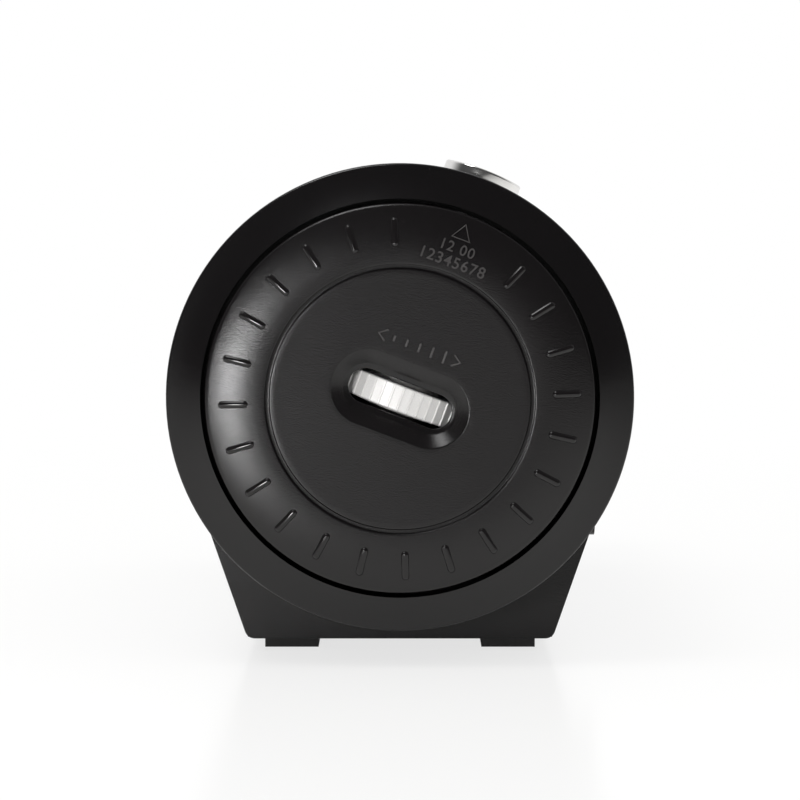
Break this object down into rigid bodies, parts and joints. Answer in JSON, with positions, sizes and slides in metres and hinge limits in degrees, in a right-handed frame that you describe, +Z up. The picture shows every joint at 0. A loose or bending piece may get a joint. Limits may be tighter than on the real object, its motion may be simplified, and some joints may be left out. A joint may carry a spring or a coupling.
{
  "type": "projection alarm clock",
  "caption": "Drum-shaped bedside alarm clock on a sloped base, with a turning time projector and focus wheel on one end.",
  "frame": {"origin": "on the table under the middle of the clock", "axes": "+X along the drum towards the projector, +Y towards the back, +Z up"},
  "size_m": [0.19, 0.088, 0.0956],
  "materials": {
    "grained_black": "fine grained satin moulding",
    "gloss_black": "smooth semi-gloss moulding",
    "dark_plastic": "plain moulded",
    "key_grey": "satin moulded",
    "silver": "satin metallised",
    "smoked_window": "smoked clear plastic",
    "clear_lens": "polished clear",
    "lit_segment": "lit diffuser",
    "unlit_segment": "dark diffuser",
    "circuit_board": "solder mask",
    "component_black": "moulded epoxy",
    "steel": "zinc plated",
    "cone_paper": "pressed paper",
    "magnet": "sintered",
    "cell_jacket": "printed jacket, plain",
    "rubber": "soft moulded"
  },
  "bodies": {
    "clock_case": {"base_screws": "steel", "battery_cells": "cell_jacket", "battery_contacts": "steel", "board_parts": "component_black", "board_posts": "dark_plastic", "bottom_cover": "dark_plastic", "dc_jack": "dark_plastic", "dimmer_switch": "dark_plastic", "display_board": "circuit_board", "display_segments_dim": "unlit_segment", "display_segments_lit": "lit_segment", "display_window": "smoked_window", "end_plate": "grained_black", "end_plate_screws": "steel", "front_case": "grained_black", "key_board": "circuit_board", "led_module": "dark_plastic", "left_end_plate": "grained_black", "left_plate_screws": "steel", "main_board": "circuit_board", "projector_switch": "dark_plastic", "rear_case": "grained_black", "rubber_foot_1": "rubber", "rubber_foot_2": "rubber", "rubber_foot_3": "rubber", "rubber_foot_4": "rubber", "speaker_cone": "cone_paper", "speaker_end_cap": "gloss_black", "speaker_frame": "steel", "speaker_magnet": "magnet", "tact_switches": "component_black", "top_panel": "dark_plastic"},
    "projector": {"projector_drum": "gloss_black", "swivel_retainer": "dark_plastic", "retainer_screws": "steel", "cover_screws": "steel", "projector_cover": "grained_black", "optics_bracket": "dark_plastic", "bracket_screws": "steel", "lcd_slide": "dark_plastic", "condenser_lens": "clear_lens", "projector_lamp": "clear_lens", "projector_board": "circuit_board", "lens_bezel": "silver", "lens_window": "clear_lens"},
    "focus_wheel": {"focus_wheel": "silver"},
    "lens_carriage": {"lens_barrel": "dark_plastic", "projection_lens": "clear_lens"},
    "dimmer_knob": {"dimmer_knob": "key_grey"},
    "projector_knob": {"projector_knob": "key_grey"},
    "battery_door": {"battery_door": "dark_plastic"},
    "snooze_bar": {"snooze_bar": "key_grey"},
    "inner_button_1": {"inner_button_1": "key_grey"},
    "inner_button_2": {"inner_button_2": "key_grey"},
    "left_button_1": {"left_button_1": "key_grey"},
    "left_button_2": {"left_button_2": "key_grey"},
    "right_button_1": {"right_button_1": "key_grey"},
    "right_button_2": {"right_button_2": "key_grey"}
  },
  "joints": [
    {"name": "projector_turn", "type": "hinge", "parent": "clock_case", "child": "projector", "pos_m": [0.0683, 0, 0.0508], "axis": [1, 0, 0], "range_deg": [-69.3, 110.7]},
    {"name": "focus_turn", "type": "hinge", "parent": "projector", "child": "focus_wheel", "pos_m": [0.0792, 0, 0.0508], "axis": [0, 0.3535, 0.9354], "range_deg": [-150, 150]},
    {"name": "lens_slide", "type": "slide", "parent": "projector", "child": "lens_carriage", "axis": [0, 0.3535, 0.9354], "range_m": [-0.0016, 0.0016]},
    {"name": "dimmer_slide", "type": "slide", "parent": "clock_case", "child": "dimmer_knob", "axis": [1, 0, 0], "range_m": [0, 0.004]},
    {"name": "projector_switch_slide", "type": "slide", "parent": "clock_case", "child": "projector_knob", "axis": [1, 0, 0], "range_m": [0, 0.004]},
    {"name": "battery_door_slide", "type": "slide", "parent": "clock_case", "child": "battery_door", "axis": [0, 1, 0], "range_m": [0, 0.03]},
    {"name": "snooze_bar_press", "type": "slide", "parent": "clock_case", "child": "snooze_bar", "axis": [0, 0, -1], "range_m": [0, 0.0008], "stiffness_N_per_m": 400, "springref_m": -0.0006},
    {"name": "inner_button_1_press", "type": "slide", "parent": "clock_case", "child": "inner_button_1", "axis": [0, 0, -1], "range_m": [0, 0.0008], "stiffness_N_per_m": 400, "springref_m": -0.0006},
    {"name": "inner_button_2_press", "type": "slide", "parent": "clock_case", "child": "inner_button_2", "axis": [0, 0, -1], "range_m": [0, 0.0008], "stiffness_N_per_m": 400, "springref_m": -0.0006},
    {"name": "left_button_1_press", "type": "slide", "parent": "clock_case", "child": "left_button_1", "axis": [0, 0, -1], "range_m": [0, 0.0008], "stiffness_N_per_m": 400, "springref_m": -0.0006},
    {"name": "left_button_2_press", "type": "slide", "parent": "clock_case", "child": "left_button_2", "axis": [0, 0, -1], "range_m": [0, 0.0008], "stiffness_N_per_m": 400, "springref_m": -0.0006},
    {"name": "right_button_1_press", "type": "slide", "parent": "clock_case", "child": "right_button_1", "axis": [0, 0, -1], "range_m": [0, 0.0008], "stiffness_N_per_m": 400, "springref_m": -0.0006},
    {"name": "right_button_2_press", "type": "slide", "parent": "clock_case", "child": "right_button_2", "axis": [0, 0, -1], "range_m": [0, 0.0008], "stiffness_N_per_m": 400, "springref_m": -0.0006}
  ],
  "couplings": [
    {"joint": "lens_slide", "follows": "focus_turn", "m_per_rad": 0.000573}
  ]
}
